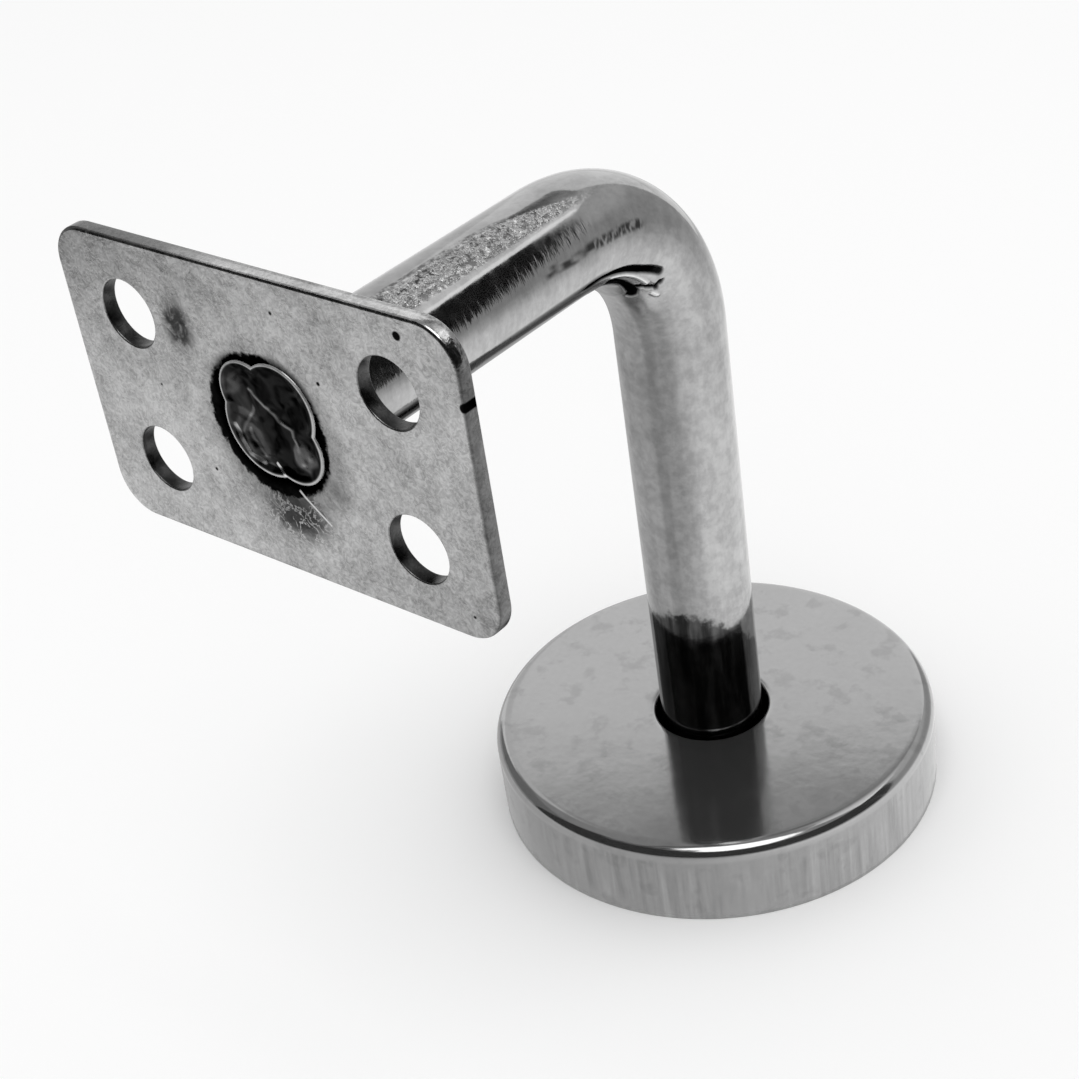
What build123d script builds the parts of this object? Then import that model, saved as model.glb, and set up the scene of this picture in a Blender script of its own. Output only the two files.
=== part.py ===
"""Handrail bracket: a bent round bar with a rail saddle at one end, a wall flange at the other and a sliding cover.

Frame: millimetres, +Z away from the wall. The origin is the centre of the flange's wall face.
The arm leaves the wall along +Z and turns to -Y, where it carries the saddle plate.
"""
import os

from build123d import *

# Arm: solid round bar
bar_diameter = 12.0
wall_to_level_run = 78.0  # wall face to the axis of the run that carries the saddle
arm_reach = 55.0  # axis of the upright run to the saddle's outer face
bend_radius = 17.0  # on the bar's centre line
former_bite = 1.0  # how deep the bending former pressed the inside of the bend
former_start_angle = 30.0  # along the bend, from the upright run
former_end_angle = 78.0

# Saddle plate: pressed sheet
saddle_length = 48.0  # along X
saddle_width = 30.0  # along Z
saddle_thickness = 1.5
saddle_corner_radius = 4.0
saddle_hole_diameter = 6.6
saddle_hole_end_distance = 8.25  # hole centre to the plate's short side
saddle_hole_side_distance = 7.5  # hole centre to the plate's long side

# Wall flange: round plate, hidden by the cover
flange_diameter = 45.0
flange_thickness = 3.0
flange_edge_chamfer = 0.4
screw_count = 3
screw_hole_diameter = 6.0
screw_edge_distance = 7.0  # hole centre to the flange's rim
first_screw_angle = 90.0

# Cover: deep drawn cup that stands on the wall around the flange
cover_wall = 0.8
cover_to_flange_gap = 2.7  # radial
screw_head_room = 6.2  # flange's front face to the inside of the cover
cover_bore_clearance = 0.7  # radial, between the cover's bore and the bar
cover_edge_radius = 1.5
cover_travel_margin = 1.0  # the cover stops this far short of the bend

# Edges
blanked_edge = 0.4  # chamfer on the outline, on the side that the punch enters
broken_edge = 0.3  # deburred rims of the round holes

# Plug welds: a pool of overlapping puddles over the end of the bar
weld_depth = 0.8
weld_sink = 0.05  # the pool stays this far under the face
weld_fit = 0.05  # radial, between the bar and the plate's hole under the pool
puddles = (  # direction from the bar's axis, then distance and radius as shares of the bar's radius
    (128.0, 0.55, 0.57),
    (54.0, 0.48, 0.70),
    (-30.0, 0.43, 0.63),
    (207.0, 0.17, 0.78),
)
dish_depth = 0.25
dish_rim = 0.5  # width of the lip around each puddle

bar_radius = bar_diameter / 2
flange_radius = flange_diameter / 2
cover_radius = flange_radius + cover_to_flange_gap + cover_wall
cover_height = flange_thickness + screw_head_room + cover_wall
cover_travel = wall_to_level_run - bend_radius - cover_height - cover_travel_margin


def arm():
    """The bar from the flange's weld, round the bend and on to the saddle's weld."""
    start = (0, 0, weld_depth)
    bend_start = (0, 0, wall_to_level_run - bend_radius)
    bend_end = (0, -bend_radius, wall_to_level_run)
    end = (0, -arm_reach + weld_depth, wall_to_level_run)
    upright_run = Line(start, bend_start)
    bend = TangentArc(bend_start, bend_end, tangent=(0, 0, 1))
    level_run = Line(bend_end, end)
    path = upright_run + bend + level_run
    section = Plane(origin=start, x_dir=(0, 1, 0), z_dir=(0, 0, 1)) * Circle(bar_radius)
    bar = sweep(section, path=path)
    return bar - former_mark()


def former_mark():
    """What the former pressed away: a flat band on the inside of the bend, between two shoulders."""
    bend_axis = Axis((0, -bend_radius, wall_to_level_run - bend_radius), (1, 0, 0))
    former_radius = bend_radius - bar_radius + former_bite
    former_face = Rectangle(bar_diameter, former_radius, align=(Align.CENTER, Align.MIN))
    former_section = (Pos(bend_axis.position) * former_face).rotate(bend_axis, former_start_angle)
    return revolve(former_section, bend_axis, former_end_angle - former_start_angle)


def pool_outline():
    """Outline of a weld pool: the end of the bar and the puddles that reach past it."""
    outline = Circle(bar_radius + weld_fit)
    for angle, distance, radius in puddles:
        outline += Rot(0, 0, angle) * Pos(bar_radius * distance, 0, 0) * Circle(bar_radius * radius)
    return outline


def plug_weld():
    """A weld pool under z = 0, just below the plate's face. Each puddle froze as a shallow dish."""
    weld = Pos(0, 0, -weld_depth) * extrude(pool_outline(), weld_depth - weld_sink)
    for angle, distance, radius in puddles:
        dish_radius = bar_radius * radius - dish_rim
        ball_radius = (dish_radius**2 + dish_depth**2) / (2 * dish_depth)
        ball = Pos(0, 0, ball_radius - weld_sink - dish_depth) * Sphere(ball_radius, rotation=(90, 0, 0))
        weld -= Rot(0, 0, angle) * Pos(bar_radius * distance, 0, 0) * ball
    return weld


def weld_seat(thickness):
    """What the weld and the end of the bar take out of a plate that lies under z = 0."""
    melted = Pos(0, 0, -weld_depth) * extrude(pool_outline(), 2 * weld_depth)
    bar_hole = Pos(0, 0, -2 * thickness) * extrude(Circle(bar_radius + weld_fit), 2 * thickness)
    return melted + bar_hole


def on_saddle_face(shape):
    """From a flat layout facing +Z to the saddle's outer face, which faces -Y."""
    return Pos(0, -arm_reach, wall_to_level_run) * Rot(90, 0, 0) * shape


def on_wall_face(shape):
    """From a flat layout facing +Z to the flange's wall face, which faces -Z."""
    return Rot(180, 0, 0) * shape


def saddle_plate():
    """Blanked plate, punched from the rail side, where its edges are broken."""
    blank = RectangleRounded(saddle_length, saddle_width, saddle_corner_radius)
    spacing_x = saddle_length - 2 * saddle_hole_end_distance
    spacing_z = saddle_width - 2 * saddle_hole_side_distance
    plate = Pos(0, 0, -saddle_thickness) * extrude(blank, saddle_thickness)
    plate = chamfer(plate.faces().sort_by(Axis.Z)[-1].edges(), blanked_edge)
    punch = punch_with_broken_edge(saddle_hole_diameter / 2, saddle_thickness)
    for place in GridLocations(spacing_x, spacing_z, 2, 2):
        plate -= place * punch
    return on_saddle_face(plate - weld_seat(saddle_thickness))


def punch_with_broken_edge(radius, thickness):
    """What a punched and deburred hole takes out of a plate that lies under z = 0."""
    bottom = -2 * thickness
    profile = Polyline(
        (0, 0),
        (radius + broken_edge, 0),
        (radius, -broken_edge),
        (radius, bottom),
        (0, bottom),
        close=True,
    )
    return revolve(Plane.XZ * make_face(profile), Axis.Z)


def wall_flange():
    """Round plate with its screw holes, and the arm's weld in the middle of its wall face."""
    disc = extrude(Circle(flange_radius), flange_thickness)
    disc = chamfer(disc.edges().sort_by(Axis.Z)[-1], flange_edge_chamfer)
    for place in PolarLocations(flange_radius - screw_edge_distance, screw_count, first_screw_angle):
        disc -= place * Cylinder(screw_hole_diameter / 2, 3 * flange_thickness)
    return disc - on_wall_face(weld_seat(flange_thickness))


def cover():
    """Drawn cup: flat top, rounded edge, straight skirt and a bore that clears the bar."""
    inner_chamfer = cover_edge_radius - cover_wall
    cup = extrude(Circle(cover_radius), cover_height)
    cup = fillet(cup.edges().sort_by(Axis.Z)[-1], cover_edge_radius)
    hollow = extrude(Circle(cover_radius - cover_wall), cover_height - cover_wall)
    hollow = chamfer(hollow.edges().sort_by(Axis.Z)[-1], inner_chamfer)
    punch = punch_with_broken_edge(bar_radius + cover_bore_clearance, cover_wall)
    return cup - hollow - Pos(0, 0, cover_height) * punch


parts = {
    "arm": arm(),
    "saddle_plate": saddle_plate(),
    "saddle_weld": on_saddle_face(plug_weld()),
    "wall_flange": wall_flange(),
    "flange_weld": on_wall_face(plug_weld()),
    "cover": cover(),
}

os.makedirs("parts", exist_ok=True)
for name, solid in parts.items():
    solid.label = name
    export_step(solid, f"parts/{name}.step")
print(f"cover travel {cover_travel:.1f} mm")
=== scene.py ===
import math

import bmesh
import bpy
from mathutils import Matrix, Vector, noise


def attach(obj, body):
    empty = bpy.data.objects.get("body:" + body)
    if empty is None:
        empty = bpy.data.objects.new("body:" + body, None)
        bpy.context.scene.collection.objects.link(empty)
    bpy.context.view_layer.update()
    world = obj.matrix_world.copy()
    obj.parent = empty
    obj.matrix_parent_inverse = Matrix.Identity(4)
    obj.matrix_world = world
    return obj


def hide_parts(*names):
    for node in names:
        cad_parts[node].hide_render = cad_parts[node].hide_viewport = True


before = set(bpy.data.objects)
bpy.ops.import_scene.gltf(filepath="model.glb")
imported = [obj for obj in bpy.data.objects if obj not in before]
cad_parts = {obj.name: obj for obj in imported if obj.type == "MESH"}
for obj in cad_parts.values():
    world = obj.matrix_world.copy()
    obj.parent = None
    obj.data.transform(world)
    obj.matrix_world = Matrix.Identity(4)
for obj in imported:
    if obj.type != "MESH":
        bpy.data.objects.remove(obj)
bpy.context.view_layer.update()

# Arm: one length of 12 mm round stainless bar, polished and bent cold round a hollow-faced former.
# The former pressed a hollow into the inside of the bend and folded its edges; shade is painted into the
# folds and a highlight onto their lip.
# A strip along the level run is ground, and the foot of the upright is painted darker below a sloping line:
# painted shade standing in for a dark reflection.
bar_radius = 0.006
level_height = 0.078
arm_reach = 0.055
bend_radius = 0.017
weld_depth = 0.0008
bar_segments = 288
upright_rings, bend_rings, level_rings = 20, 180, 50
bend_start = level_height - bend_radius
bend_end = bend_start + bend_radius * math.pi / 2
bar_end = bend_end + arm_reach - bend_radius - weld_depth
former_bite = 0.0006
former_hollow = 0.009
former_start, former_end = 45.0, 84.0
run_in, run_out = 16, 4
marks_start, marks_end = 20, 130
mm_per_turn, mm_per_lean = 0.24, 0.105
lip_rise, fold_depth = 0.00012, 0.00014


def extruded(piece, edges):
    """Extrudes a ring of edges and returns the new corners and the new ring."""
    made = bmesh.ops.extrude_edge_only(piece, edges=edges)["geom"]
    corners = [g for g in made if isinstance(g, bmesh.types.BMVert)]
    return corners, [g for g in made if isinstance(g, bmesh.types.BMEdge)]


def lengthen(piece, edges, vector):
    """Extrudes a ring of edges along a vector and returns the new ring."""
    corners, ring = extruded(piece, edges)
    bmesh.ops.translate(piece, verts=corners, vec=vector)
    return ring


def ease(value, low, high):
    """0 at low and 1 at high, with a soft start and end."""
    share = min(max((value - low) / (high - low), 0.0), 1.0)
    return share * share * (3 - 2 * share)


def off_line(x, y, corners):
    """Distance from a point to a line through corners."""
    point = Vector((x, y))
    gaps = []
    for start, end in zip(corners, corners[1:]):
        start, run = Vector(start), Vector(end) - Vector(start)
        share = min(max((point - start).dot(run) / run.length_squared, 0), 1)
        gaps.append((point - start - share * run).length)
    return min(gaps)


def swirl(x, y, scale, seed):
    """Smooth noise from about -1 to 1; a larger scale makes smaller features."""
    return noise.noise(Vector((x * scale, y * scale, seed)))


def placed(name, data):
    """A new object in the scene."""
    made = bpy.data.objects.new(name, data)
    bpy.context.scene.collection.objects.link(made)
    return made


def as_object(piece, name, material):
    """The piece as an object of one material."""
    mesh = bpy.data.meshes.new(name)
    piece.to_mesh(mesh)
    piece.free()
    mesh.materials.append(material)
    return placed(name, mesh)


def finished(piece, name, body, steel, cad_node):
    """The piece as an object that rides on a body and stands for its CAD node."""
    made = as_object(piece, name, steel)
    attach(made, body)
    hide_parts(cad_node)


def node(tree, kind, settings=None, inputs=None, output=0):
    """Adds a shader node; an input is a plain value or another node's output."""
    made = tree.nodes.new("ShaderNode" + kind)
    for key, value in (settings or {}).items():
        setattr(made, key, value)
    for key, value in (inputs or {}).items():
        if isinstance(value, bpy.types.NodeSocket):
            tree.links.new(value, made.inputs[key])
        else:
            made.inputs[key].default_value = value
    return made.outputs[output]


def maths(tree, operation, first, second=0.0):
    return node(tree, "Math", {"operation": operation}, {0: first, 1: second})


def times(tree, first, second):
    return maths(tree, "MULTIPLY", first, second)


def larger(tree, first, second):
    return maths(tree, "MAXIMUM", first, second)


def size_of(tree, value):
    return maths(tree, "ABSOLUTE", value)


def one_less(tree, value):
    """1 minus the value."""
    return maths(tree, "SUBTRACT", 1.0, value)


def kept_in(tree, value):
    """The value held between 0 and 1."""
    return node(tree, "Clamp", None, {"Value": value})


def total(tree, *terms):
    """The sum of numbers and node outputs."""
    made = terms[0]
    for term in terms[1:]:
        made = maths(tree, "ADD", made, term)
    return made


def spread(tree, value, low, high, to_low=0.0, to_high=1.0):
    """Maps low..high to to_low..to_high, clamped and eased."""
    return node(
        tree,
        "MapRange",
        {"interpolation_type": "SMOOTHSTEP"},
        {"Value": value, "From Min": low, "From Max": high, "To Min": to_low, "To Max": to_high},
    )


def stretched(tree, place, x, y, z):
    return node(tree, "Mapping", None, {"Vector": place, "Scale": (x, y, z)})


def split(tree, place):
    """The three coordinates of a place."""
    return node(tree, "SeparateXYZ", None, {"Vector": place}).node.outputs


def along_way(tree, place, way):
    """How far a place lies along a direction."""
    return node(tree, "VectorMath", {"operation": "DOT_PRODUCT"}, {0: place, 1: way}, output=1)


def grain(tree, place, size, detail=3.0, roughness=0.55):
    """Noise from 0 to 1 whose features are about size metres across."""
    return node(
        tree,
        "TexNoise",
        None,
        {"Vector": place, "Scale": 1 / size, "Detail": detail, "Roughness": roughness},
    )


def full_grain(tree, place, size, detail=3.0, roughness=0.55):
    """Grain stretched until it reaches 0 and 1."""
    return spread(tree, grain(tree, place, size, detail, roughness), 0.3, 0.7)


def steel_shader(name, metallic=1.0):
    """An empty steel with its tree and its shader."""
    steel = bpy.data.materials.new(name)
    steel.use_nodes = True
    shader = steel.node_tree.nodes["Principled BSDF"]
    shader.inputs["Metallic"].default_value = metallic
    return steel, steel.node_tree, shader


def connect(tree, shader, inputs):
    """Links node outputs to the shader's inputs."""
    for key, value in inputs.items():
        tree.links.new(value, shader.inputs[key])


def dent(tree, height, depth, normal=None):
    """A bump of depth metres from a height of 0 to 1."""
    inputs = {"Height": height, "Distance": depth, "Strength": 1.0}
    if normal is not None:
        inputs["Normal"] = normal
    return node(tree, "Bump", None, inputs)


def on_bend(*places):
    """Turn along the bend and lean from its inside line, in degrees, as lengths in millimetres."""
    return [(turn * mm_per_turn, lean * mm_per_lean) for turn, lean in places]


# Paths on the bend along which shade is painted into the folds and a highlight onto their lip and the glint.
upper_fold = on_bend((94, 60), (76, 60), (60, 61), (48, 66))
lower_fold = on_bend((75, 45), (66, 40), (57, 36), (49, 33), (46, 28))
end_fold = on_bend((52, 40), (46, 46), (42, 51), (43, 58))
fold_lip = on_bend((77, 54), (68, 54), (56, 51), (49, 49))
glint = on_bend((40, 44), (37, 46))
# A ragged, comb-like dark stripe on the +X side of the bend.
dark_streak_path = on_bend((112, 103), (100, 101), (82, 101), (68, 106))

bar = bmesh.new()
straight = bar.verts.layers.float_vector.new("straight")
fold_shade_and_streak = bar.verts.layers.float.new("fold_shade_and_streak")
bar_foot = Matrix.Translation((0, 0, weld_depth))
bmesh.ops.create_circle(bar, cap_ends=False, segments=bar_segments, radius=bar_radius, matrix=bar_foot)
ring = first_ring = bar.edges[:]
for length, rings in (
    (bend_start - weld_depth, upright_rings),
    (bend_end - bend_start, bend_rings),
    (bar_end - bend_end, level_rings),
):
    for _ in range(rings):
        ring = lengthen(bar, ring, (0, 0, length / rings))
bmesh.ops.contextual_create(bar, geom=first_ring)
bmesh.ops.contextual_create(bar, geom=ring)
bmesh.ops.recalc_face_normals(bar, faces=bar.faces)
for vert in bar.verts:
    vert[straight] = vert.co.copy()
    turn = math.degrees((vert.co.z - bend_start) / bend_radius)
    if marks_start < turn < marks_end:
        lean = math.degrees(math.atan2(abs(vert.co.x), -vert.co.y))
        mark = on_bend((turn, lean))[0]
        thick = 0.35 + 0.35 * ease(abs(turn - 60), 28, 6)
        upper = ease(off_line(*mark, upper_fold), thick, thick * 0.5)
        torn = 0.5 + 0.5 * swirl(*mark, 2.2, 6)
        lower = max(
            ease(off_line(*mark, lower_fold), 0.8, 0.45),
            ease(off_line(*mark, end_fold), 0.7 * torn + 0.1, 0.3 * torn),
        )
        lip = max(ease(off_line(*mark, fold_lip), 0.32, 0.1), ease(off_line(*mark, glint), 0.36, 0.16))
        comb = ease(swirl(mark[0] * 3, mark[1], 1.3, 3), -0.3, 0.15)
        dark_streak = comb * ease(off_line(*mark, dark_streak_path), 0.75, 0.25) if vert.co.x > 0 else 0
        # Painted shade in the folds, plus the dark stripe, less a painted highlight on the lip of the folds
        # and the glint.
        vert[fold_shade_and_streak] = max(upper, lower, 0.85 * dark_streak) - lip
        bite = former_bite * ease(turn, former_start, former_start + run_in)
        bite *= ease(turn, former_end + run_out, former_end - run_out)
        if bite > 0 and abs(vert.co.x) < bar_radius:
            hollow = former_hollow - bar_radius + bite - math.sqrt(former_hollow**2 - vert.co.x**2)
            if vert.co.y < hollow:
                vert.co.y = hollow
        outward = Vector((vert.co.x, vert.co.y, 0)).normalized()
        vert.co += (lip_rise * lip - fold_depth * max(upper, lower)) * outward
for vert in bar.verts:
    along = vert.co.z - bend_start
    turn = min(max(along / bend_radius, 0.0), math.pi / 2)
    past = along - turn * bend_radius
    if along > 0:
        lever = bend_radius + vert.co.y
        vert.co.y = lever * math.cos(turn) - bend_radius
        vert.co.z = bend_start + lever * math.sin(turn)
        if turn >= math.pi / 2:
            vert.co.y -= past
for face in bar.faces:
    face.smooth = len(face.verts) == 4

strip_start = 0.083
strip_fade = 0.0005
shade_line_side, shade_line_down = 0.731, -0.682
dark_foot_slope = (0.21, -0.98, -1.0)
bar_steel, tree, shader = steel_shader("polished_bar_steel", 0.99)
place = node(tree, "Attribute", {"attribute_name": "straight"}, output=1)
shade_and_streak = node(tree, "Attribute", {"attribute_name": "fold_shade_and_streak"}, output=2)
side, top, along = split(tree, place)
clouds = full_grain(tree, place, 0.006)
blotches = full_grain(tree, place, 0.0013, 4.0, 0.65)
upright_lines = full_grain(tree, stretched(tree, place, 1, 1, 0.12), 0.0016, 3.0, 0.6)
combs = full_grain(tree, stretched(tree, place, 0.22, 0.22, 1), 0.0007, 3.0, 0.6)
fine = spread(tree, grain(tree, place, 0.0007, 3.0, 0.7), 0.38, 0.62)
# Painted highlights: small bright glints in the ground strip.
glints = spread(tree, grain(tree, place, 0.0005, 1.0), 0.62, 0.70)
level = spread(tree, along, 0.070, 0.088)
upright = one_less(tree, level)
on_top = spread(tree, top, 0.0020, 0.0030)
off_edge = maths(tree, "SUBTRACT", side, spread(tree, along, strip_start, 0.100, 0.0031, 0.0005))
strip = times(
    tree,
    times(tree, spread(tree, off_edge, 0.0, strip_fade), spread(tree, side, 0.0034, 0.0039, 1.0, 0.0)),
    times(tree, on_top, spread(tree, along, strip_start, 0.090)),
)
# A painted dark line along the upper edge of the ground strip, standing in for a dark reflection.
strip_edge_shade = times(
    tree,
    spread(tree, size_of(tree, off_edge), 0.0001, 0.00035, 1.0, 0.0),
    spread(tree, along, 0.088, 0.100, 0.25, 1.0),
)
strip_edge_shade = times(
    tree,
    times(tree, strip_edge_shade, spread(tree, along, 0.070, 0.074)),
    times(tree, on_top, fine),
)
front = times(tree, spread(tree, side, 0.0046, 0.0053), level)
tone = total(
    tree,
    0.30,
    times(tree, level, 0.02),
    times(tree, clouds, 0.05),
    times(tree, blotches, total(tree, 0.08, times(tree, upright, 0.04))),
    times(tree, upright_lines, times(tree, upright, 0.07)),
    times(tree, combs, times(tree, front, 0.05)),
    times(tree, maths(tree, "SUBTRACT", fine, 0.5), times(tree, strip, 0.34)),
    times(tree, glints, times(tree, strip, 0.35)),
)
# A painted shade stripe down the front of the upright, standing in for the shadowed floor it reflects.
streak_gap = size_of(tree, maths(tree, "SUBTRACT", side, 0.0016))
reflected_shade_streak = times(
    tree,
    times(tree, spread(tree, streak_gap, 0.0003, 0.0010, 1.0, 0.0), upright),
    times(tree, spread(tree, top, -0.0045, -0.0052), spread(tree, upright_lines, 0.0, 1.0, 0.14, 0.30)),
)
# A painted dark line along both sides of the level run's underside, standing in for a dark reflection.
leaning = total(tree, times(tree, size_of(tree, side), shade_line_side), times(tree, top, shade_line_down))
underside_shade_line = times(
    tree,
    spread(tree, leaning, 0.00555, 0.00572),
    spread(tree, along, strip_start, 0.088, 0.0, 0.92),
)
# Painted shade: the foot of the upright is darkened below a sloping line, standing in for a dark reflection.
slope = along_way(tree, place, dark_foot_slope)
dark_foot = spread(tree, maths(tree, "ADD", slope, times(tree, blotches, 0.0012)), -0.0212, -0.0200)
foot_shade = times(tree, dark_foot, spread(tree, upright_lines, 0.0, 1.0, 0.93, 0.68))
# All painted shade: the dark foot, the line under the level run and the strip's edge line.
darkened = larger(tree, foot_shade, larger(tree, underside_shade_line, times(tree, strip_edge_shade, 0.7)))
clean_and_unshaded = times(
    tree,
    one_less(tree, times(tree, kept_in(tree, shade_and_streak), 0.95)),
    times(tree, one_less(tree, reflected_shade_streak), one_less(tree, darkened)),
)
# Painted highlight: base colour raised on the lip of the folds and the glint, where the attribute is below
# zero.
shine = times(tree, kept_in(tree, times(tree, shade_and_streak, -1.0)), 0.3)
rubbed = times(
    tree,
    spread(tree, top, -0.0035, -0.0045),
    times(tree, spread(tree, along, 0.056, 0.062), spread(tree, along, 0.087, 0.091, 0.15, 0.0)),
)
peel = dent(tree, grain(tree, place, 0.0016, 2.0), 0.000008)
combed = dent(tree, combs, times(tree, front, 0.000006), peel)
connect(
    tree,
    shader,
    {
        "Base Color": maths(tree, "ADD", times(tree, tone, clean_and_unshaded), shine),
        "Specular Tint": one_less(tree, kept_in(tree, shade_and_streak)),
        "Roughness": total(tree, rubbed, spread(tree, blotches, 0.0, 1.0, 0.07, 0.115)),
        "Normal": dent(tree, fine, times(tree, strip, 0.00008), combed),
    },
)
finished(bar, "bent_bar", "bracket", bar_steel, "arm")

# Saddle plate: 1.5 mm stainless strip, blanked to 48 x 30 mm with rounded corners and punched with
# four screw holes for the rail. The punch rounds the edges on the rail side and leaves the other side crisp.
# The arm's end sits in its middle, where the plug weld has sunk and blackened the sheet.
saddle_length = 0.048
saddle_width = 0.030
saddle_thickness = 0.0015
saddle_corner_radius = 0.004
saddle_hole_radius = 0.0033
saddle_hole_spread = Vector((0.01575, 0.0075, 0))
edge_rounding = 0.0003
hole_rounding = 0.00015
back_rounding = 0.0001
outline_margin = 0.0013
sharp_angle = 1.0
near_face = 1e-5
mm_per_m = 1000
weld_zone = 0.0088
zone_segments = 192
zone_rings = 60
zone_sag = 0.00014
pool_recess = 0.0006
to_saddle = Matrix.Translation((0, -arm_reach, level_height)) @ Matrix.Rotation(math.pi / 2, 4, "X")
puddles = (
    (-2.03, 2.60, 3.40),
    (1.70, 2.35, 4.20),
    (2.25, -1.30, 3.75),
    (-0.90, -0.45, 4.65),
)


def depth_in_pool(x, y):
    """How far inside the pool's outline a point of the flat layout is, in millimetres."""
    return max(size - math.hypot(x - px, y - py) for px, py, size in puddles)


def rounded(piece, geom, size, steps, affect):
    """Rounds corners or edges of a piece."""
    bmesh.ops.bevel(
        piece,
        geom=geom,
        offset=size,
        offset_type="OFFSET",
        segments=steps,
        profile=0.5,
        affect=affect,
        material=-1,
    )


def filled_inwards(piece, ring, count):
    """Fills a ring of edges with smaller and smaller rings and a face in the middle."""
    for step in range(1, count):
        corners, ring = extruded(piece, ring)
        share = (count - step) / (count - step + 1)
        bmesh.ops.scale(piece, verts=corners, vec=(share, share, 1))
    bmesh.ops.contextual_create(piece, geom=ring)


plate = bmesh.new()
blank = Matrix.Diagonal((saddle_length / 2, saddle_width / 2, 1, 1))
bmesh.ops.create_grid(plate, x_segments=1, y_segments=1, size=1, matrix=blank)
bmesh.ops.delete(plate, geom=plate.faces[:], context="FACES_ONLY")
rounded(plate, plate.verts[:], saddle_corner_radius, 14, "VERTICES")
for x in (-1, 1):
    for y in (-1, 1):
        centre = Matrix.Translation((x * saddle_hole_spread.x, y * saddle_hole_spread.y, 0))
        bmesh.ops.create_circle(plate, cap_ends=False, segments=56, radius=saddle_hole_radius, matrix=centre)
bmesh.ops.create_circle(plate, cap_ends=False, segments=zone_segments, radius=weld_zone)
bmesh.ops.triangle_fill(plate, use_beauty=True, edges=plate.edges[:], normal=(0, 0, 1))
bmesh.ops.recalc_face_normals(plate, faces=plate.faces)
if plate.faces[:][0].normal.z < 0:
    bmesh.ops.reverse_faces(plate, faces=plate.faces)
sheet = bmesh.ops.extrude_face_region(plate, geom=plate.faces[:], use_keep_orig=True)["geom"]
back_verts = [g for g in sheet if isinstance(g, bmesh.types.BMVert)]
bmesh.ops.translate(plate, verts=back_verts, vec=(0, 0, -saddle_thickness))
bmesh.ops.recalc_face_normals(plate, faces=plate.faces)


def on_zone_edge(piece):
    """Whether all corners of an edge or face lie on the circle round the weld."""
    return all(abs(v.co.xy.length - weld_zone) < 1e-6 for v in piece.verts)


zone_walls = [f for f in plate.faces if abs(f.normal.z) < 0.5 and on_zone_edge(f)]
bmesh.ops.delete(plate, geom=zone_walls, context="FACES_ONLY")
bmesh.ops.delete(plate, geom=[e for e in plate.edges if e.is_wire], context="EDGES")
zone_back = [e for e in plate.edges if e.is_boundary and on_zone_edge(e) and e.verts[0].co.z < -near_face]
bmesh.ops.contextual_create(plate, geom=zone_back)


def sharp_edges(at_front):
    return [
        e
        for e in plate.edges
        if len(e.link_faces) == 2
        and e.calc_face_angle() > sharp_angle
        and all((v.co.z > -near_face) == at_front for v in e.verts)
    ]


def on_outline(edge):
    return all(
        max(abs(v.co.x) - saddle_length / 2, abs(v.co.y) - saddle_width / 2) > -outline_margin
        for v in edge.verts
    )


front_edges = sharp_edges(True)
outline = [e for e in front_edges if on_outline(e)]
hole_rims = [e for e in front_edges if not on_outline(e)]
back_edges = sharp_edges(False)
for edges, rounding, steps in (
    (outline, edge_rounding, 4),
    (hole_rims, hole_rounding, 3),
    (back_edges, back_rounding, 2),
):
    rounded(plate, edges, rounding, steps, "EDGES")
for face in plate.faces:
    face.smooth = abs(face.normal.z) < 0.999
filled_inwards(plate, [e for e in plate.edges if e.is_boundary], zone_rings)
for vert in plate.verts:
    if vert.co.z > -near_face and vert.co.xy.length < weld_zone - near_face:
        inside = depth_in_pool(vert.co.x * mm_per_m, vert.co.y * mm_per_m)
        vert.co.z = -zone_sag * ease(inside, -1.5, 0) - pool_recess * ease(inside, -0.05, 0.15)
        for face in vert.link_faces:
            face.smooth = True
bmesh.ops.recalc_face_normals(plate, faces=plate.faces)
bmesh.ops.transform(plate, matrix=to_saddle, verts=plate.verts)


def object_place(tree):
    """The place on the object, in metres."""
    return node(tree, "TexCoord", output=3)


def flat_layout(tree, place):
    """A place as seen on the plate's face, with the middle of the weld at 0."""
    moved = {"Vector": place, "Location": (0, 0, -level_height), "Scale": (1, 0.0, 1)}
    return node(tree, "Mapping", None, moved)


def spot(tree, place, x, y, size, softness, squeeze=(1, 1)):
    """1 inside a round mark of the flat layout and 0 outside it; lengths in millimetres."""
    middle = (x / mm_per_m * squeeze[0], 0, y / mm_per_m * squeeze[1])
    moved = stretched(tree, place, squeeze[0], 1, squeeze[1])
    gap = node(tree, "VectorMath", {"operation": "DISTANCE"}, {0: moved, 1: middle}, output=1)
    return spread(tree, gap, (size - softness) / mm_per_m, (size + softness) / mm_per_m, 1.0, 0.0)


scratch_way = (0.781, -0.625)
scratch_offset = -3.2
scratch_fade = 0.0002
scratch_on_weld = (1.9, 3.7, 0.2)
scratch_on_plate = (5.1, 9.6, 0.16)


def scratch(tree, place, start, end, width):
    """1 on a stretch of the scratch, from start to end along it, in millimetres of the flat layout."""
    across, up = scratch_way
    reach = along_way(tree, place, (across, 0, up))
    off = along_way(tree, place, (-up, 0, across))
    gap = size_of(tree, maths(tree, "SUBTRACT", off, scratch_offset / mm_per_m))
    thin = spread(tree, gap, width / (2 * mm_per_m), width / mm_per_m, 1.0, 0.0)
    start, end = start / mm_per_m, end / mm_per_m
    begun = spread(tree, reach, start, start + scratch_fade)
    return times(tree, thin, times(tree, begun, spread(tree, reach, end - scratch_fade, end, 1.0, 0.0)))


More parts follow.
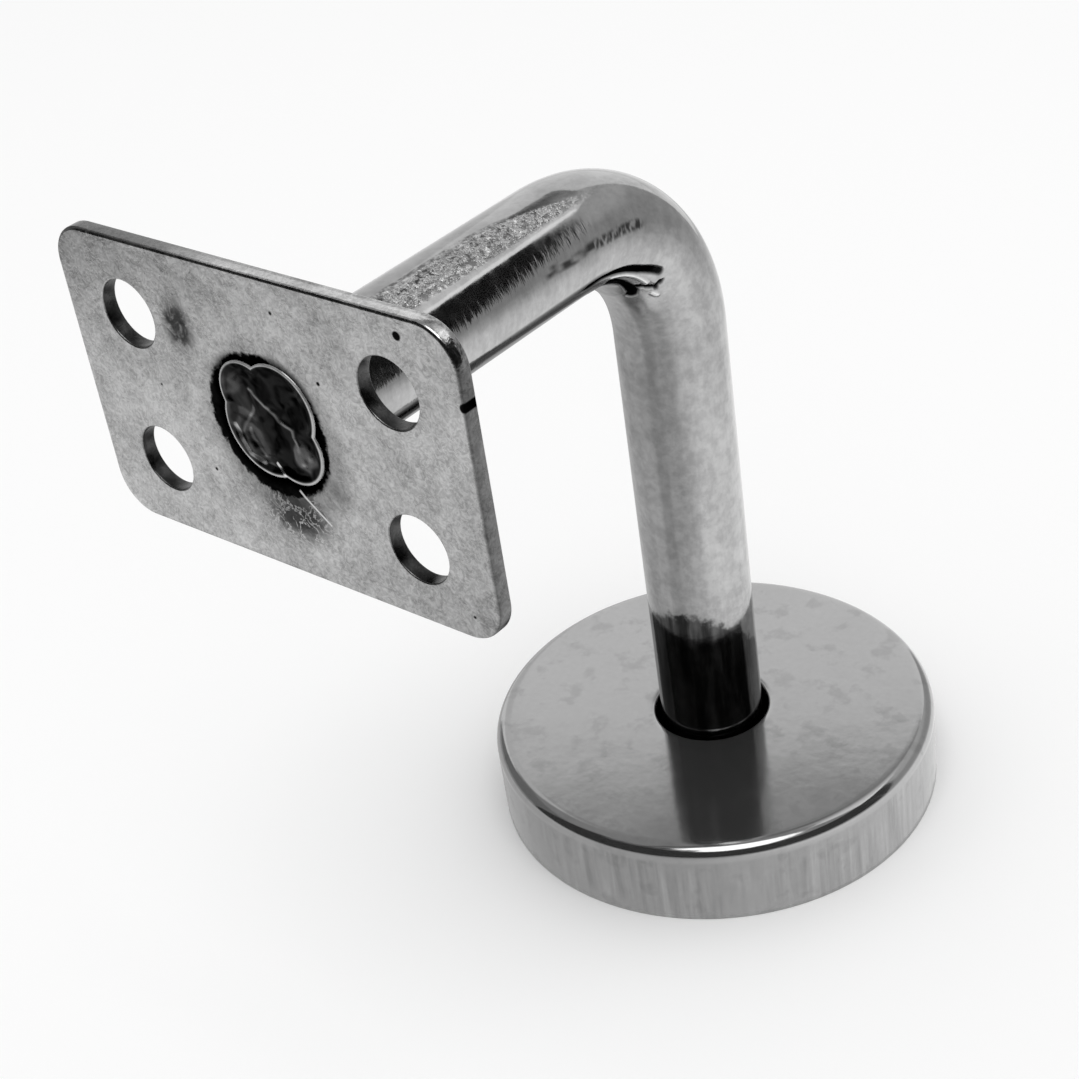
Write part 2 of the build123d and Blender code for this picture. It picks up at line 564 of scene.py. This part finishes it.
ragged_by = 0.00085
pit_softness = 0.08
plate_steel, tree, shader = steel_shader("rolled_plate_steel")
whole = object_place(tree)
depth = maths(tree, "ADD", split(tree, whole)[1], arm_reach)
place = flat_layout(tree, whole)
right, _, height = split(tree, place)
clouds = full_grain(tree, whole, 0.006)
wavy = grain(tree, whole, 0.0015, 4.0, 0.65)
wavy.node.inputs["Distortion"].default_value = 0.7
worms = spread(tree, wavy, 0.30, 0.70)
specks = full_grain(tree, whole, 0.00045, 3.0, 0.7)
shake = {"Vector": place, "Scale": 1100.0, "Detail": 4.0, "Roughness": 0.7}
shaken = node(tree, "TexNoise", None, shake, output=1)
ragged = node(
    tree,
    "VectorMath",
    {"operation": "MULTIPLY_ADD"},
    {0: shaken, 1: (2 * ragged_by, 0.0, 2 * ragged_by), 2: place},
)
shifted = node(tree, "VectorMath", {"operation": "SUBTRACT"}, {0: ragged, 1: (ragged_by, 0, ragged_by)})
strokes = grain(tree, whole, 0.0007, 2.0, 0.5)
strokes.node.inputs["Distortion"].default_value = 2.2
flakes = spread(tree, strokes, 0.36, 0.64)
wrinkle = spread(tree, size_of(tree, maths(tree, "SUBTRACT", wavy, 0.5)), 0.008, 0.03)
burnt = spot(tree, shifted, -0.05, 0.1, 7.1, 0.3)
heat = times(tree, spot(tree, shifted, 0.7, -0.9, 8.4, 1.7), 0.4)
scorch = times(
    tree,
    spot(tree, shifted, 0.9, -7.6, 3.4, 1.6, (0.8, 1)),
    times(tree, wrinkle, spread(tree, clouds, 0.1, 0.6, 0.75, 1.0)),
)
smear = times(tree, spot(tree, shifted, 6.9, -4.4, 1.6, 1.5), 0.6)
smudge = times(
    tree,
    spot(tree, shifted, -9.2, 7.7, 1.8, 0.9, (1, 0.7)),
    spread(tree, wavy, 0.36, 0.58, 0.4, 0.9),
)
marks = None
for x, y, size in (
    (18.0, 13.2, 0.42),
    (24.0, 8.2, 0.45),
    (-8.75, -6.6, 0.17),
    (3.55, 11.9, 0.17),
    (7.6, 6.3, 0.2),
    (21.0, -12.6, 0.15),
    (-13.6, 0.9, 0.12),
):
    pit = spot(tree, place, x, y, size, pit_softness)
    marks = pit if marks is None else larger(tree, marks, pit)
for mark in (times(tree, scorch, 0.9), smudge, smear):
    marks = larger(tree, marks, mark)
off_back = spread(tree, depth, 0.00144, 0.00149, 1.0, 0.0)
charred = times(tree, burnt, total(tree, 0.7, times(tree, off_back, 0.3)))
stain = larger(tree, times(tree, marks, off_back), larger(tree, charred, heat))
through = times(tree, spread(tree, depth, 0.00001, 0.00014), off_back)
smooth_rim = times(tree, spread(tree, height, 0.0108, 0.0125), spread(tree, right, -0.016, 0.004))
bright_rim = times(tree, through, smooth_rim)
# The cut walls are darker as a shear-cut finish; the hole walls are darker still with painted shade.
hole_shade = times(
    tree,
    spread(tree, size_of(tree, height), 0.0125, 0.0135, 0.2, 0.0),
    spread(tree, size_of(tree, right), 0.0210, 0.0225, 1.0, 0.0),
)
sheared_and_hole_shade = times(tree, through, maths(tree, "ADD", hole_shade, spread(tree, smooth_rim, 0.0, 1.0, 0.68, 0.0)))
nick = larger(tree, scratch(tree, place, *scratch_on_weld), scratch(tree, place, *scratch_on_plate))
tone = total(
    tree,
    0.22,
    times(tree, clouds, 0.12),
    times(tree, worms, 0.18),
    times(tree, specks, 0.08),
    times(tree, flakes, 0.15),
    # Painted highlight on the front part of the polished top rim's thickness and painted shade on its back
    # part.
    times(tree, bright_rim, spread(tree, depth, 0.0009, 0.0012, 0.12, -0.14)),
)
clean_and_unshaded = times(tree, one_less(tree, times(tree, stain, 0.985)), one_less(tree, sheared_and_hole_shade))
connect(
    tree,
    shader,
    {
        "Base Color": larger(tree, times(tree, tone, clean_and_unshaded), times(tree, times(tree, nick, off_back), 0.7)),
        "Roughness": total(tree, 0.24, times(tree, worms, 0.1), times(tree, bright_rim, -0.14)),
        "Specular Tint": one_less(tree, times(tree, stain, 0.6)),
        "Normal": dent(tree, specks, 0.000006, dent(tree, worms, 0.000012, dent(tree, clouds, 0.00002))),
    },
)
finished(plate, "punched_saddle_plate", "bracket", plate_steel, "saddle_plate")

# Saddle weld: a plug weld laid in four overlapping puddles round the end of the bar, flush with the plate.
# It froze with a thin bright lip, a dark glassy oxide inside, a bright ridge where the puddles met,
# and ripples along the lip. The last puddle stayed grey.
weld_rings = 70
weld_foot = 0.0007
deepest_floor, highest_floor = -0.6, -0.04
ridge = ((-2.0, 3.1), (0.1, 1.6), (1.0, 0.8), (2.5, 0.2), (2.4, -0.5), (3.0, -1.2))
ledge = ((-4.7, -0.9), (-4.3, -2.2), (-3.4, -3.5), (-1.9, -4.1))
pale_lines = (
    ((-2.2, 1.5), (-2.8, 0.5), (-3.3, -0.5), (-3.8, -1.4)),
    ((-2.9, -1.2), (-2.7, -2.2), (-1.9, -3.2)),
)


def pool_radius(angle):
    """Outline of the pool at an angle, in millimetres."""
    near, far = 3.0, 9.0
    while far - near > 0.002:
        middle = (near + far) / 2
        if depth_in_pool(middle * math.cos(angle), middle * math.sin(angle)) > 0:
            near = middle
        else:
            far = middle
    return near


def lip_width(x, y):
    """The lip is wider on the side where the welder finished."""
    return 0.21 + 0.004 * (x - y)


def pool_height(x, y):
    """Height of the frozen pool in millimetres, with the plate's face at 0."""
    inside = depth_in_pool(x, y)
    width = lip_width(x, y)
    lip = -0.05 + 0.03 * ease(inside, 0, width * 0.5)
    bowls = sorted(((x - px) ** 2 + (y - py) ** 2) / size**2 for px, py, size in puddles)
    floor = -0.44 + 0.28 * bowls[0] + 0.16 * swirl(x, y, 0.5, 5) + 0.04 * swirl(x, y, 1.6, 7)
    floor += 0.018 * math.sin(inside * 8 + 5 * swirl(x, y, 0.45, 2)) * ease(inside, 2.6, 0.6)
    floor += 0.06 * math.exp(-((off_line(x, y, ridge) / 0.3) ** 2))
    floor += 0.22 * ease(math.hypot(x - 3.6, y + 2.0), 1.9, 0.6)
    share = ease(inside, width, width + 0.8)
    return lip * (1 - share) + min(max(floor, deepest_floor), highest_floor) * share


def oxide(x, y):
    """Blackness of the pool's skin: bright on the lip and the ridge, grey in the last puddle, else black."""
    inside = depth_in_pool(x, y)
    width = lip_width(x, y)
    lip = 1 - ease(inside, width * 0.8, width * 1.6)
    shift_x, shift_y = 1.2 * swirl(x, y, 0.5, 21), 1.2 * swirl(x, y, 0.5, 27)
    cloud = ease(swirl(x + shift_x, y + shift_y, 0.9, 9), -0.35, 0.35)
    left = ease(x + 0.35 * y, -0.3, -2.6)
    last = math.hypot(x - 3.5 + 0.6 * shift_x, y + 2.3 + 0.6 * shift_y)
    pale = max(
        (0.70 + 0.1 * cloud) * ease(off_line(x + 0.2 * shift_x, y + 0.2 * shift_y, ridge), 0.42, 0.04),
        0.98 * ease(off_line(x, y, ledge), 0.42, 0.12) * (0.75 + 0.25 * cloud),
        (0.35 + 0.22 * cloud) * left,
        (0.60 + 0.24 * cloud * ease(abs(last - 0.8), 0.35, 0.05)) * ease(last, 1.9, 1.2),
        0.10 + 0.16 * cloud,
    )
    for line in pale_lines:
        off = off_line(x + 0.5 * shift_x, y + 0.4 * shift_y, line)
        pale = max(pale, (0.60 + 0.2 * cloud) * ease(off, 0.55, 0.05))
    return (1 - lip) * (1 - pale)


weld = bmesh.new()
skin = weld.verts.layers.float.new("skin")
bmesh.ops.create_circle(weld, cap_ends=False, segments=zone_segments, radius=1.0)
rim = weld.edges[:]
filled_inwards(weld, rim, weld_rings)
for vert in weld.verts:
    angle = math.atan2(vert.co.y, vert.co.x)
    size = pool_radius(angle) * vert.co.xy.length
    x, y = size * math.cos(angle), size * math.sin(angle)
    vert.co = Vector((x, y, pool_height(x, y))) / mm_per_m
    vert[skin] = oxide(x, y)
foot = lengthen(weld, rim, (0, 0, -weld_foot))
bmesh.ops.contextual_create(weld, geom=foot)
bmesh.ops.recalc_face_normals(weld, faces=weld.faces)
for face in weld.faces:
    face.smooth = len(face.verts) == 4
bmesh.ops.transform(weld, matrix=to_saddle, verts=weld.verts)

weld_steel, tree, shader = steel_shader("oxidised_weld_steel")
place = object_place(tree)
film = grain(tree, place, 0.0012, 3.0)
dark = node(tree, "Attribute", {"attribute_name": "skin"}, output=2)
tone = times(tree, maths(tree, "POWER", 0.010, dark), spread(tree, film, 0.3, 0.7, 0.38, 0.54))
nick = scratch(tree, flat_layout(tree, place), *scratch_on_weld)
connect(
    tree,
    shader,
    {
        "Base Color": larger(tree, tone, times(tree, nick, 0.75)),
        "Metallic": spread(tree, dark, 0.0, 0.6, 0.55, 1.0),
        "Specular Tint": one_less(tree, times(tree, dark, 0.6)),
        "Roughness": spread(tree, film, 0.3, 0.7, 0.12, 0.24),
        "Normal": dent(tree, film, 0.00002),
    },
)
finished(weld, "saddle_plug_weld", "bracket", weld_steel, "saddle_weld")

# Wall flange: a 45 mm disc of 3 mm stainless plate, faced flat, with three plain screw holes.
# The arm stands in its middle, and its own plug weld lies flush in the wall face.
flange_steel, tree, shader = steel_shader("faced_flange_steel")
place = object_place(tree)
cut = grain(tree, stretched(tree, place, 1, 1, 0.2), 0.0015, 3.0)
connect(
    tree,
    shader,
    {
        "Base Color": spread(tree, cut, 0.3, 0.7, 0.36, 0.46),
        "Roughness": spread(tree, cut, 0.3, 0.7, 0.28, 0.4),
        "Normal": dent(tree, cut, 0.00002),
    },
)
for cad_node, steel in (("wall_flange", flange_steel), ("flange_weld", weld_steel)):
    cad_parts[cad_node].data.materials.clear()
    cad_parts[cad_node].data.materials.append(steel)

# Cover: a cup drawn from 0.8 mm polished stainless sheet, which slides on the bar and hides the flange.
# The die leaves a round edge and faint upright draw lines on the skirt; the bore is punched and deburred.
cover_radius = 0.026
cover_height = 0.010
cover_wall = 0.0008
cover_edge = 0.0015
bore_radius = 0.0067
bore_edge = 0.00035
foot_edge = 0.0001
cup_steps = 256
longest_uncut = 0.005
cup = bmesh.new()
profile = [
    (bore_radius, cover_height - cover_wall),
    (bore_radius, cover_height),
    (cover_radius, cover_height),
    (cover_radius, 0),
    (cover_radius - cover_wall, 0),
    (cover_radius - cover_wall, cover_height - cover_wall),
]
corners = [cup.verts.new((r, 0, z)) for r, z in profile]
for start, end in zip(corners, corners[1:] + corners[:1]):
    cup.edges.new((start, end))
for corner, size, steps in (
    (2, cover_edge, 12),
    (5, cover_edge - cover_wall, 6),
    (1, bore_edge, 5),
    (3, foot_edge, 2),
    (4, foot_edge, 2),
):
    rounded(cup, [corners[corner]], size, steps, "VERTICES")
long_edges = [e for e in cup.edges if e.calc_length() > longest_uncut]
bmesh.ops.subdivide_edges(cup, edges=long_edges, cuts=40, use_grid_fill=False)
bmesh.ops.spin(
    cup,
    geom=cup.verts[:] + cup.edges[:],
    cent=(0, 0, 0),
    axis=(0, 0, 1),
    angle=2 * math.pi,
    steps=cup_steps,
    use_merge=True,
)
bmesh.ops.remove_doubles(cup, verts=cup.verts, dist=1e-7)
bmesh.ops.recalc_face_normals(cup, faces=cup.faces)
for face in cup.faces:
    face.smooth = True

cover_steel, tree, shader = steel_shader("drawn_cover_steel", 0.94)
place = object_place(tree)
skirt = spread(tree, split(tree, place)[2], 0.0086, 0.0080)
clouds = grain(tree, place, 0.007, 3.0)
specks = grain(tree, place, 0.0007, 3.0, 0.65)
lines = grain(tree, stretched(tree, place, 1, 1, 0.05), 0.0008, 3.0, 0.6)
wide_lines = grain(tree, stretched(tree, place, 1, 1, 0.12), 0.0022, 3.0, 0.6)
patches = spread(tree, grain(tree, place, 0.009, 2.0), 0.42, 0.60, 0.05, 1.0)
drawn = times(tree, skirt, patches)
stains = spread(tree, grain(tree, place, 0.0035, 5.0, 0.6), 0.52, 0.66, 0.0, -0.06)
tone = total(
    tree,
    0.37,
    times(tree, skirt, -0.05),
    times(tree, clouds, 0.09),
    times(tree, specks, 0.05),
    times(tree, total(tree, lines, wide_lines, -1.0), times(tree, drawn, 0.30)),
    stains,
)
smooth = dent(tree, clouds, 0.00002, dent(tree, specks, 0.000002))
connect(
    tree,
    shader,
    {
        "Base Color": tone,
        "Roughness": total(tree, times(tree, skirt, 0.12), spread(tree, clouds, 0.3, 0.7, 0.10, 0.14)),
        "Normal": dent(tree, lines, times(tree, drawn, 0.00002), smooth),
    },
)
finished(cup, "drawn_cover", "cover", cover_steel, "cover")

# Studio: a white table under a soft overhead light, black cloths round the sides, and a lamp behind.
# The cloths, boards and lamp cards stand on a circle round the part and are only seen in the metal.
card_circle = 0.25
inner_circle = 0.249
outer_circle = 0.251
sheen_outer, sheen_inner = 0.2509, 0.0262
card_steps = 48


def paint(name, grey, glow):
    """A matt colour that also glows a little."""
    made = bpy.data.materials.new(name)
    made.use_nodes = True
    shader = made.node_tree.nodes["Principled BSDF"]
    shader.inputs["Base Color"].default_value = (grey, grey, grey, 1)
    shader.inputs["Roughness"].default_value = 1.0
    shader.inputs["Specular IOR Level"].default_value = 0.0
    shader.inputs["Emission Color"].default_value = (1, 1, 1, 1)
    shader.inputs["Emission Strength"].default_value = glow
    return made


def graded(colour, glow):
    """Lets a node output set how strongly a colour glows."""
    tree = colour.node_tree
    connect(tree, tree.nodes["Principled BSDF"], {"Emission Strength": glow})


def card(name, from_azimuth, to_azimuth, low, high, radius, colour, top_radius=None, low_end=None):
    """An upright curved card round the table. Azimuth 0 is towards -Y and 90 towards +X, in degrees."""
    sheet = bmesh.new()
    start, end = math.radians(from_azimuth - 90), math.radians(to_azimuth - 90)
    foot = sheet.verts.new((radius * math.cos(start), radius * math.sin(start), low))
    top_radius = top_radius or radius
    head = sheet.verts.new((top_radius * math.cos(start), top_radius * math.sin(start), high))
    edge = sheet.edges.new((foot, head))
    bmesh.ops.spin(
        sheet, geom=[foot, head, edge], cent=(0, 0, 0), axis=(0, 0, 1), angle=end - start, steps=card_steps
    )
    if low_end is not None:
        for vert in sheet.verts:
            if vert.co.z < (low + high) / 2:
                turn = (math.atan2(vert.co.y, vert.co.x) - start) % (2 * math.pi)
                vert.co.z = low + (low_end - low) * turn / (end - start)
    made = as_object(sheet, name, colour)
    made.visible_camera = False
    made.visible_diffuse = False
    made.visible_shadow = False
    made.visible_transmission = False


floor = bmesh.new()
bmesh.ops.create_circle(floor, cap_ends=True, segments=64, radius=6)
as_object(floor, "floor", paint("white_table", 0.95, 0.0))

black = paint("black_cloth", 0.01, 0.0)
grey = paint("grey_board", 0.0, 0.42)
dim = paint("dim_board", 0.0, 0.2)
card("front_board", -55, 115, 0.0, 0.03, card_circle, grey)
card("front_cloth", 20, 115, 0.03, 0.29, inner_circle, black)
card("corner_cloth", -55, 20, 0.03, 0.42, inner_circle, black)
card("left_board", -100, -55, 0.0, 0.05, card_circle, grey)
card("left_cloth", -100, -55, 0.05, 0.26, card_circle, dim)
boards = paint("side_board", 0.0, 0.5)
tree = boards.node_tree
height = split(tree, object_place(tree))[2]
near_foot = spread(tree, height, 0.0, 0.05, 0.58, 0.42)
near_head = spread(tree, height, 0.12, 0.19, 0.42, 0.6)
graded(boards, larger(tree, near_foot, near_head))
card("side_board", 115, 188, 0.0, 0.289, outer_circle, boards)
card("side_cloth", 115, 142, 0.015, 0.300, card_circle, black, low_end=0.272)
card("side_lamp", 122, 152, 0.287, 0.325, inner_circle, paint("side_lamp", 0.0, 1.6), low_end=0.296)
fading = paint("fading_board", 0.0, 0.5)
tree = fading.node_tree
graded(fading, spread(tree, split(tree, object_place(tree))[0], -0.12, 0.15, 0.18, 1.1))
card("fading_board", 122, 218, 0.325, 0.45, card_circle, fading, 0.16)
card("rear_lamp", 152, 190, 0.289, 0.325, card_circle, fading)
sheen = paint("table_sheen", 0.0, 0.7)
tree = sheen.node_tree
place = object_place(tree)
toward = along_way(tree, place, (0.77, 0.64, 0))
reach = node(tree, "VectorMath", {"operation": "LENGTH"}, {0: place}, output=1)
beside_lamp = spread(tree, toward, -0.02, 0.045, 0.62, 1.1)
near_lamp = times(tree, beside_lamp, spread(tree, reach, 0.06, 0.24, 1.0, 0.6))
graded(sheen, larger(tree, near_lamp, spread(tree, toward, -0.13, -0.09, 0.9, 0.0)))
card("table_sheen", 0, 360, 0.0003, 0.0003, sheen_outer, sheen, sheen_inner)
card("left_back_board", 232, 250, 0.03, 0.28, card_circle, paint("left_back_board", 0.0, 0.78))
card("ceiling", 0, 360, 2.6, 2.6, 3.1, paint("ceiling", 0.0, 0.33), 0.001)

lamp = bpy.data.lights.new("overhead_light", "AREA")
lamp.shape = "DISK"
lamp.size = 1.5
lamp.energy = 2.4 * math.pi * math.pi * (lamp.size / 2) ** 2
overhead = placed("overhead_light", lamp)
overhead.location = (0.43, -0.45, 2.0)
overhead.rotation_euler = (0, math.radians(17), math.radians(-46))

world = bpy.data.worlds.new("studio")
bpy.context.scene.world = world
world.use_nodes = True
tree = world.node_tree
tree.nodes.clear()
rays = node(tree, "LightPath").node.outputs
shown = larger(tree, rays["Is Camera Ray"], larger(tree, rays["Is Glossy Ray"], rays["Is Transmission Ray"]))
soft = node(tree, "Background", None, {"Color": (1, 1, 1, 1), "Strength": 0.78})
white = node(tree, "Background", None, {"Color": (1, 1, 1, 1), "Strength": 1.0})
mixed = node(tree, "MixShader", None, {0: shown, 1: soft, 2: white})
connect(tree, tree.nodes.new("ShaderNodeOutputWorld"), {"Surface": mixed})

# Camera: a little above the saddle, on its side of the bend, turned a little in the hand.
# It looks down on the bracket so that the plate's face, the bend and the cover's top all show.
azimuth, elevation, roll = math.radians(44.36), math.radians(33.08), math.radians(9.09)
distance = 0.2294
target = Vector((-0.00932, -0.0150, 0.03958))
back = Vector(
    (math.sin(azimuth) * math.cos(elevation), -math.cos(azimuth) * math.cos(elevation), math.sin(elevation))
)
side = (-back).cross(Vector((0, 0, 1))).normalized()
down = (-back).cross(side)
right = math.cos(roll) * side + math.sin(roll) * down
up = math.sin(roll) * side - math.cos(roll) * down
camera_data = bpy.data.cameras.new("camera")
camera_data.lens = 69.86
camera_data.sensor_width = 36
camera_data.clip_start = 0.01
camera = placed("camera", camera_data)
turned = Matrix((right, up, back)).transposed().to_4x4()
camera.matrix_world = Matrix.Translation(target + distance * back) @ turned
bpy.context.scene.camera = camera
bpy.context.scene.view_settings.view_transform = "Standard"
